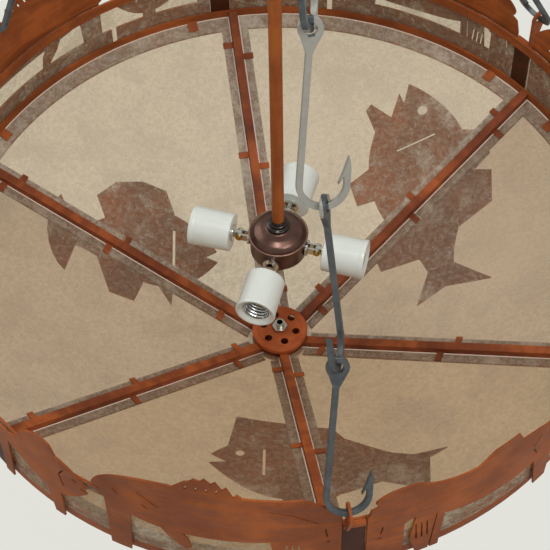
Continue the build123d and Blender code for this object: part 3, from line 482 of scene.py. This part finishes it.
# Sockets: pressed white porcelain, glazed, with a slight taper, a raised lip and a dished mouth,
# round a shell of aluminium strip rolled into the lamp's round thread. Each pair takes the place
# of the plain body and sleeve, and its sizes are in mm from the middle of the same bore.
thread_pitch = 3.63
thread_crest = 12.5
thread_root = 13.35
shell_wall = 0.3
shell_rows = 70
socket_corner = 0.8
porcelain_outline = [
    (3.0, -29.5), (19.6, -29.5), (20.3, -28.6), (20.6, 9.6), (21.0, 10.6), (21.0, 14.2),
    (20.2, 15.0), (18.7, 15.0), (15.4, 12.0), (13.9, 11.6), (13.9, -17.5), (3.0, -17.5),
]
aluminium_colour = "#E2E4E4"
porcelain_shade = "#D6DBD5"
porcelain_white = "#E3E6E0"
# The glaze waves over about 11 mm, 90 times to a metre.
glaze_waves = 90.0
glaze_wave_height = 0.0002

# Glazed porcelain: a cool soft white under a thin clear gloss, a little uneven where it ran.
porcelain, tree = new_material("glazed_porcelain")
place = add_node(tree, "ShaderNodeTexCoord").outputs["Object"]
glaze_wave = add_node(tree, "ShaderNodeTexNoise", {
    "Vector": place, "Scale": glaze_waves, "Detail": 2.0,
})
glaze_bump = add_node(tree, "ShaderNodeBump", {
    "Height": glaze_wave.outputs["Fac"], "Distance": glaze_wave_height, "Strength": 0.35,
})
glaze_tones = add_node(tree, "ShaderNodeMix", {
    "data_type": "RGBA", "Factor": glaze_wave.outputs["Fac"],
    colour_a: paint(porcelain_shade), colour_b: paint(porcelain_white),
})
finish_material(tree, add_node(tree, "ShaderNodeBsdfPrincipled", {
    "Base Color": glaze_tones.outputs[mixed], "Roughness": 0.28, "Coat Weight": 0.3,
    "Normal": glaze_bump.outputs["Normal"],
}))
aluminium = plated("rolled_aluminium", aluminium_colour, roughness=0.24)


def rolled_thread(length):
    """Sleeve about Z: radius = middle + half depth * cos(turns along - turns around), up the
    outside, where it is one wall more, and down the inside."""
    rise = np.linspace(-length / 2, length / 2, shell_rows)
    height = np.concatenate((rise, rise[::-1]))[:, None]
    wall = np.repeat((shell_wall, 0.0), shell_rows)[:, None]
    half_depth = (thread_root - thread_crest) / 2
    wave = np.cos(2 * np.pi * height / thread_pitch - around)
    return turned((thread_root + thread_crest) / 2 + half_depth * wave + wall, height)


bores = {mount["name"]: mount for mount in frame["record"]["mounts"]}
porcelain_line = round_corners(porcelain_outline, socket_corner)
socket_grid = turned(porcelain_line[:, :1], porcelain_line[:, 1:])
for k in range(1, 5):
    bore = bores[f"lamp_bore_{k}"]
    sleeve = rolled_thread(bore["dims"]["length_mm"])
    shell = add_skin(f"rolled_shell_{k}", sleeve, aluminium, bore["pos_m"], bore["axis"])
    socket = add_skin(
        f"porcelain_socket_{k}", socket_grid, porcelain, bore["pos_m"], bore["axis"]
    )
    for piece, node, slot in (
        (shell, "screw_shell", "aluminium"), (socket, "porcelain", "porcelain")
    ):
        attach(piece, f"socket_{k}")
        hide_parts(f"{node}_{k}")

# Hooks: flat bar cut and dressed to a fish hook, blued dark, with hammer marks and worn bright
# flats. The middle link of each chain is painted pale grey, as painted light for the light it
# reflects. The middle link lies across its chain's upright plane, and the links that it hooks into
# lie in that plane.
blued_dark = "#30343A"
blued_light = "#73777A"
# Painted light: the pale grey that the middle link is painted, for the light it reflects.
lit_link_dark = "#94918A"
lit_link_light = "#BBB8B0"
lit_link_from = -0.4725
lit_link_to = -0.323
clear_from = -0.458
clear_to = -0.338
first_chain = math.radians(38.63)
half_chain_turn = math.radians(60.0)
half_link = 0.0028
hammered_roughness = 0.52
worn_roughness = 0.34
edge_rounding = 0.0014
# Hammer marks about 11 mm across, 90 to a metre.
hammer_marks = 90.0
hammer_depth = 0.0006


def plan_polar(tree, place):
    """Radius from the upright axis, azimuth about it and height, of the point being shaded:
    radius = sqrt(x^2 + y^2), azimuth = atan2(y, x)."""
    parts = add_node(tree, "ShaderNodeSeparateXYZ", {0: place})
    x, y, height = (parts.outputs[name] for name in "XYZ")
    x_square = add_node(tree, "ShaderNodeMath", {"operation": "MULTIPLY", 0: x, 1: x})
    y_square = add_node(tree, "ShaderNodeMath", {"operation": "MULTIPLY", 0: y, 1: y})
    squares = add_node(tree, "ShaderNodeMath", {
        "operation": "ADD", 0: x_square.outputs[0], 1: y_square.outputs[0],
    })
    radius = add_node(tree, "ShaderNodeMath", {"operation": "SQRT", 0: squares.outputs[0]})
    azimuth = add_node(tree, "ShaderNodeMath", {"operation": "ARCTAN2", 0: y, 1: x})
    return radius.outputs[0], azimuth.outputs[0], height


def off_planes(tree, radius, azimuth, first, half_turn):
    """Distance to the nearest upright plane of a ring of them, two half turns apart:
    radius * sin(angle from that plane), the angle running up and down between 0 and half_turn."""
    past_first = add_node(tree, "ShaderNodeMath", {
        "operation": "SUBTRACT", 0: azimuth, 1: first,
    })
    angle = add_node(tree, "ShaderNodeMath", {
        "operation": "PINGPONG", 0: past_first.outputs[0], 1: half_turn,
    })
    sine = add_node(tree, "ShaderNodeMath", {"operation": "SINE", 0: angle.outputs[0]})
    return add_node(tree, "ShaderNodeMath", {
        "operation": "MULTIPLY", 0: radius, 1: sine.outputs[0],
    }).outputs[0]


def within(tree, value, low, high):
    """1 where a value lies between two limits, otherwise 0."""
    above = add_node(tree, "ShaderNodeMath", {"operation": "GREATER_THAN", 0: value, 1: low})
    below = add_node(tree, "ShaderNodeMath", {"operation": "LESS_THAN", 0: value, 1: high})
    return add_node(tree, "ShaderNodeMath", {
        "operation": "MULTIPLY", 0: above.outputs[0], 1: below.outputs[0],
    }).outputs[0]


# Dressed steel: dull in the hammered hollows, brighter on the worn flats, with filed edges that
# catch the light. The middle link, told by its height and its distance from the chain's plane, is
# painted pale grey as painted light.
hook_steel, tree = new_material("dressed_dark_steel_with_painted_lit_link")
place = add_node(tree, "ShaderNodeTexCoord").outputs["Object"]
radius, azimuth, height = plan_polar(tree, place)
off_chain = off_planes(tree, radius, azimuth, first_chain, half_chain_turn)
beside = add_node(tree, "ShaderNodeMath", {
    "operation": "GREATER_THAN", 0: off_chain, 1: half_link,
})
on_middle_link = add_node(tree, "ShaderNodeMath", {
    "operation": "MAXIMUM",
    0: beside.outputs[0], 1: within(tree, height, clear_from, clear_to),
})
lit_link_share = add_node(tree, "ShaderNodeMath", {
    "operation": "MULTIPLY",
    0: on_middle_link.outputs[0], 1: within(tree, height, lit_link_from, lit_link_to),
})
hook_cloud = add_node(tree, "ShaderNodeTexNoise", {
    "Vector": place, "Scale": hammer_marks, "Detail": 5.0, "Roughness": 0.65,
})
dark_tones = add_node(tree, "ShaderNodeMix", {
    "data_type": "RGBA", "Factor": hook_cloud.outputs["Fac"],
    colour_a: paint(blued_dark), colour_b: paint(blued_light),
})
lit_link_tones = add_node(tree, "ShaderNodeMix", {
    "data_type": "RGBA", "Factor": hook_cloud.outputs["Fac"],
    colour_a: paint(lit_link_dark), colour_b: paint(lit_link_light),
})
hook_tones = add_node(tree, "ShaderNodeMix", {
    "data_type": "RGBA", "Factor": lit_link_share.outputs[0],
    colour_a: dark_tones.outputs[mixed], colour_b: lit_link_tones.outputs[mixed],
})
hook_rough = add_node(tree, "ShaderNodeMapRange", {
    "Value": hook_cloud.outputs["Fac"], "From Min": noise_low, "From Max": noise_high,
    "To Min": hammered_roughness, "To Max": worn_roughness,
})
dressed_edge = add_node(tree, "ShaderNodeBevel", {"samples": 4, "Radius": edge_rounding})
hook_bump = add_node(tree, "ShaderNodeBump", {
    "Height": hook_cloud.outputs["Fac"], "Distance": hammer_depth, "Strength": 0.5,
    "Normal": dressed_edge.outputs[0],
})
finish_material(tree, add_node(tree, "ShaderNodeBsdfPrincipled", {
    "Base Color": hook_tones.outputs[mixed], "Metallic": 0.7,
    "Roughness": hook_rough.outputs[0], "Normal": hook_bump.outputs[0],
}))
coat(["chain_1", "chain_2", "chain_3", "canopy_eyes"], hook_steel)

# Mica: flakes of mica pressed with shellac into tan sheet 1.2 mm thick, one sheet to a panel and a
# strip to each bay. About half the light comes through, so steel against its back shows dark,
# crossed by silvery parted flakes. It is greyer where it is clamped, and a pale painted highlight
# runs along its sawn edge, where the edge catches the light.
# Painted highlight: the pale colour of the line along the sheet's sawn edge.
edge_highlight_colour = "#E6D3C2"
first_rib = math.radians(97.43)
half_bay = math.radians(30.0)
flange_edge = 0.0158
ledge_edge = 0.3425
sheet_rim = 0.3575
rim_allowance = 0.001
edge_highlight_width = 0.0013
half_web = 0.0054
# Sizes of the flakes, of the curled lines where they part, of the tan clouds and of the haze.
flake_size = 0.0055
curl_size = 0.011
cloud_size = 0.07
haze_size = 0.045
# Where in its noise each pattern starts and is full, and how silvery it makes the sheet.
flake_from = 0.44
flake_full = 0.68
flake_share = 0.7
noise_middle = 0.5
curl_half_width = 0.012
curl_share = 0.4
haze_from = 0.52
haze_full = 0.7
haze_share = 0.6
clamped_share = 0.34
# How clear a parted place stays, and how far the clouds move the clear share.
parted_clear = 0.55
cloud_clear = 0.1
flake_low = 0.35
flake_high = 0.65
flake_roughness = 0.5
polished_roughness = 0.22
flake_height = 0.0001


def by_edge(tree, off_rib, radius, rib_limit, rim_limit):
    """1 in the bowl nearer a rib than one limit or further out than the other, otherwise 0."""
    beside_rib = add_node(tree, "ShaderNodeMath", {
        "operation": "LESS_THAN", 0: off_rib, 1: rib_limit,
    })
    over_ledge = add_node(tree, "ShaderNodeMath", {
        "operation": "GREATER_THAN", 0: radius, 1: rim_limit,
    })
    either = add_node(tree, "ShaderNodeMath", {
        "operation": "MAXIMUM", 0: beside_rib.outputs[0], 1: over_ledge.outputs[0],
    })
    in_bowl = add_node(tree, "ShaderNodeMath", {
        "operation": "LESS_THAN", 0: radius, 1: sheet_rim + rim_allowance,
    })
    return add_node(tree, "ShaderNodeMath", {
        "operation": "MULTIPLY", 0: either.outputs[0], 1: in_bowl.outputs[0],
    }).outputs[0]


def mica_sheet(name, deep, tan, silver, clear_share, tint):
    """Pressed mica: tan or silver flakes over a clear share that falls where the flakes part.
    Light crosses both faces of a sheet, so the share that comes through is its square."""
    material, tree = new_material(name)
    place = add_node(tree, "ShaderNodeTexCoord").outputs["Object"]
    radius, azimuth, _ = plan_polar(tree, place)
    off_rib = off_planes(tree, radius, azimuth, first_rib, half_bay)
    clamped = by_edge(tree, off_rib, radius, flange_edge, ledge_edge)
    # A painted highlight along the sawn edge, pale and not clear.
    edge_highlight_mask = by_edge(tree, off_rib, radius, half_web + edge_highlight_width, sheet_rim - edge_highlight_width)
    flakes = add_node(tree, "ShaderNodeTexNoise", {
        "Vector": place, "Scale": 1 / flake_size, "Detail": 6.0, "Roughness": 0.75,
        "Distortion": 0.5,
    })
    curls = add_node(tree, "ShaderNodeTexNoise", {
        "Vector": place, "Scale": 1 / curl_size, "Detail": 1.0, "Distortion": 2.2,
    })
    clouds = add_node(tree, "ShaderNodeTexNoise", {
        "Vector": place, "Scale": 1 / cloud_size, "Detail": 4.0, "Roughness": 0.55,
    })
    hazes = add_node(tree, "ShaderNodeTexNoise", {
        "Vector": place, "Scale": 1 / haze_size, "Detail": 5.0, "Roughness": 0.6,
    })
    patches = add_node(tree, "ShaderNodeMapRange", {
        "Value": flakes.outputs["Fac"], "From Min": flake_from, "From Max": flake_full,
        "To Max": flake_share,
    })
    past_middle = add_node(tree, "ShaderNodeMath", {
        "operation": "SUBTRACT", 0: curls.outputs["Fac"], 1: noise_middle,
    })
    off_middle = add_node(tree, "ShaderNodeMath", {
        "operation": "ABSOLUTE", 0: past_middle.outputs[0],
    })
    lines = add_node(tree, "ShaderNodeMapRange", {
        "Value": off_middle.outputs[0], "From Max": curl_half_width, "To Min": curl_share,
        "To Max": 0.0,
    })
    haze = add_node(tree, "ShaderNodeMapRange", {
        "Value": hazes.outputs["Fac"], "From Min": haze_from, "From Max": haze_full,
        "To Max": haze_share,
    })
    marked = add_node(tree, "ShaderNodeMath", {
        "operation": "MAXIMUM", 0: patches.outputs[0], 1: lines.outputs[0],
    })
    hazed = add_node(tree, "ShaderNodeMath", {
        "operation": "ADD", 0: marked.outputs[0], 1: haze.outputs[0],
    })
    pressed = add_node(tree, "ShaderNodeMath", {
        "operation": "MULTIPLY_ADD", 0: clamped, 1: clamped_share, 2: hazed.outputs[0],
    })
    parted = add_node(tree, "ShaderNodeClamp", {"Value": pressed.outputs[0]}).outputs[0]
    body = add_node(tree, "ShaderNodeMix", {
        "data_type": "RGBA", "Factor": clouds.outputs["Fac"],
        colour_a: paint(deep), colour_b: paint(tan),
    })
    flaked = add_node(tree, "ShaderNodeMix", {
        "data_type": "RGBA", "Factor": parted,
        colour_a: body.outputs[mixed], colour_b: paint(silver),
    })
    edged = add_node(tree, "ShaderNodeMix", {
        "data_type": "RGBA", "Factor": edge_highlight_mask,
        colour_a: flaked.outputs[mixed], colour_b: paint(edge_highlight_colour),
    })
    open_sheet = add_node(tree, "ShaderNodeMapRange", {
        "Value": parted, "To Min": clear_share, "To Max": parted_clear * clear_share,
    })
    drift = add_node(tree, "ShaderNodeMath", {
        "operation": "MULTIPLY_ADD",
        0: clouds.outputs["Fac"], 1: cloud_clear, 2: -cloud_clear * noise_middle,
    })
    drifted = add_node(tree, "ShaderNodeMath", {
        "operation": "ADD", 0: open_sheet.outputs[0], 1: drift.outputs[0],
    })
    inside_edge = add_node(tree, "ShaderNodeMath", {"operation": "SUBTRACT", 0: 1.0, 1: edge_highlight_mask})
    clear = add_node(tree, "ShaderNodeMath", {
        "operation": "MULTIPLY", 0: drifted.outputs[0], 1: inside_edge.outputs[0],
    })
    rough = add_node(tree, "ShaderNodeMapRange", {
        "Value": flakes.outputs["Fac"], "From Min": flake_low, "From Max": flake_high,
        "To Min": flake_roughness, "To Max": polished_roughness,
    })
    ripple = add_node(tree, "ShaderNodeBump", {
        "Height": flakes.outputs["Fac"], "Distance": flake_height, "Strength": 0.5,
    })
    sheet = add_node(tree, "ShaderNodeBsdfPrincipled", {
        "Base Color": edged.outputs[mixed], "Roughness": rough.outputs[0],
        "Normal": ripple.outputs[0],
    })
    gap = add_node(tree, "ShaderNodeBsdfTransparent", {"Color": paint(tint)})
    finish_material(tree, add_node(tree, "ShaderNodeMixShader", {
        0: clear.outputs[0], 1: sheet.outputs[0], 2: gap.outputs[0],
    }))
    return material


# Painted light and shade: one mica in three copies, lightest on the far panels and the band,
# darker on the side panels and darkest on the near panels, for how the light falls on and through
# them.
far_lit_mica = mica_sheet(
    "pressed_mica_painted_lit_far", deep="#8C7966", tan="#AA9780", silver="#D3C6B3",
    clear_share=0.77, tint="#FFF7EA",
)
side_half_lit_mica = mica_sheet(
    "pressed_mica_painted_half_lit_sides", deep="#766150", tan="#937E67", silver="#B5A28D",
    clear_share=0.66, tint="#FFF1E0",
)
near_shaded_mica = mica_sheet(
    "pressed_mica_painted_shade_near", deep="#725E4B", tan="#937C64", silver="#B29D86",
    clear_share=0.645, tint="#FFEED8",
)
coat(["mica_panel_1", "mica_panel_6", "band_mica"], far_lit_mica)
coat(["mica_panel_2", "mica_panel_5"], side_half_lit_mica)
coat(["mica_panel_3", "mica_panel_4"], near_shaded_mica)
